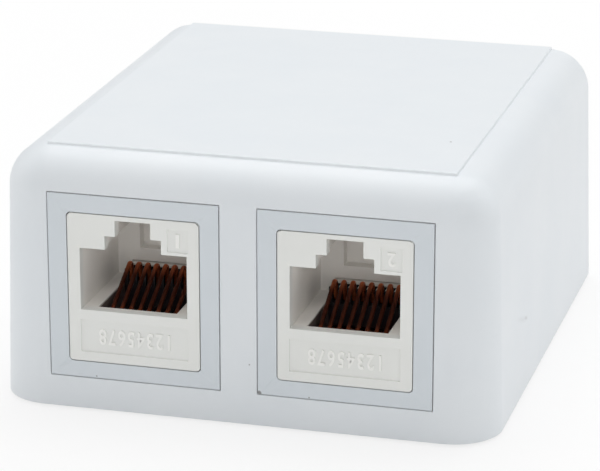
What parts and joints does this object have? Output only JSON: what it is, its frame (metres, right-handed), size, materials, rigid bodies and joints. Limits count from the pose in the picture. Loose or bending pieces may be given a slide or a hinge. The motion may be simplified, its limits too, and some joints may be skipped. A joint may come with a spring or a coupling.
{
  "type": "surface mount jack box",
  "caption": "Surface mount box for data cabling: a cover with rounded front edges that clips over a wall base, holding modular jacks in square bezels along its front.",
  "frame": {"origin": "middle of the box's footprint on the mounting surface", "axes": "+Z away from the mounting surface, ports facing -Y, +X to the right as the ports are faced"},
  "size_m": [0.0548, 0.0578, 0.0285],
  "materials": {
    "cover_plastic": "fine satin moulded ABS, cool white",
    "base_plastic": "fine satin moulded ABS, cool white",
    "bezel_plastic": "satin moulded ABS, cool white",
    "jack_plastic": "satin moulded plastic, warm off-white",
    "carrier_plastic": "satin moulded plastic, warm grey",
    "board_laminate": "glass-fibre laminate under green solder resist",
    "block_plastic": "satin moulded plastic, warm off-white",
    "cap_plastic": "satin moulded plastic, warm off-white",
    "contact_metal": "phosphor bronze strip, thinly plated",
    "terminal_metal": "tinned phosphor bronze"
  },
  "bodies": {
    "base": {"base": "base_plastic"},
    "cover": {"cover": "cover_plastic", "left_bezel": "bezel_plastic", "left_jack_housing": "jack_plastic", "left_contact_carrier": "carrier_plastic", "left_circuit_board": "board_laminate", "left_terminal_block": "block_plastic", "left_rear_cap": "cap_plastic", "left_contact_1": "contact_metal", "left_contact_2": "contact_metal", "left_contact_3": "contact_metal", "left_contact_4": "contact_metal", "left_contact_5": "contact_metal", "left_contact_6": "contact_metal", "left_contact_7": "contact_metal", "left_contact_8": "contact_metal", "left_terminal_1": "terminal_metal", "left_terminal_2": "terminal_metal", "left_terminal_3": "terminal_metal", "left_terminal_4": "terminal_metal", "left_terminal_5": "terminal_metal", "left_terminal_6": "terminal_metal", "left_terminal_7": "terminal_metal", "left_terminal_8": "terminal_metal", "right_bezel": "bezel_plastic", "right_jack_housing": "jack_plastic", "right_contact_carrier": "carrier_plastic", "right_circuit_board": "board_laminate", "right_terminal_block": "block_plastic", "right_rear_cap": "cap_plastic", "right_contact_1": "contact_metal", "right_contact_2": "contact_metal", "right_contact_3": "contact_metal", "right_contact_4": "contact_metal", "right_contact_5": "contact_metal", "right_contact_6": "contact_metal", "right_contact_7": "contact_metal", "right_contact_8": "contact_metal", "right_terminal_1": "terminal_metal", "right_terminal_2": "terminal_metal", "right_terminal_3": "terminal_metal", "right_terminal_4": "terminal_metal", "right_terminal_5": "terminal_metal", "right_terminal_6": "terminal_metal", "right_terminal_7": "terminal_metal", "right_terminal_8": "terminal_metal"}
  },
  "joints": [
    {"name": "cover_lift", "type": "slide", "parent": "base", "child": "cover", "axis": [0, 0, 1], "range_m": [0, 0.035]}
  ]
}
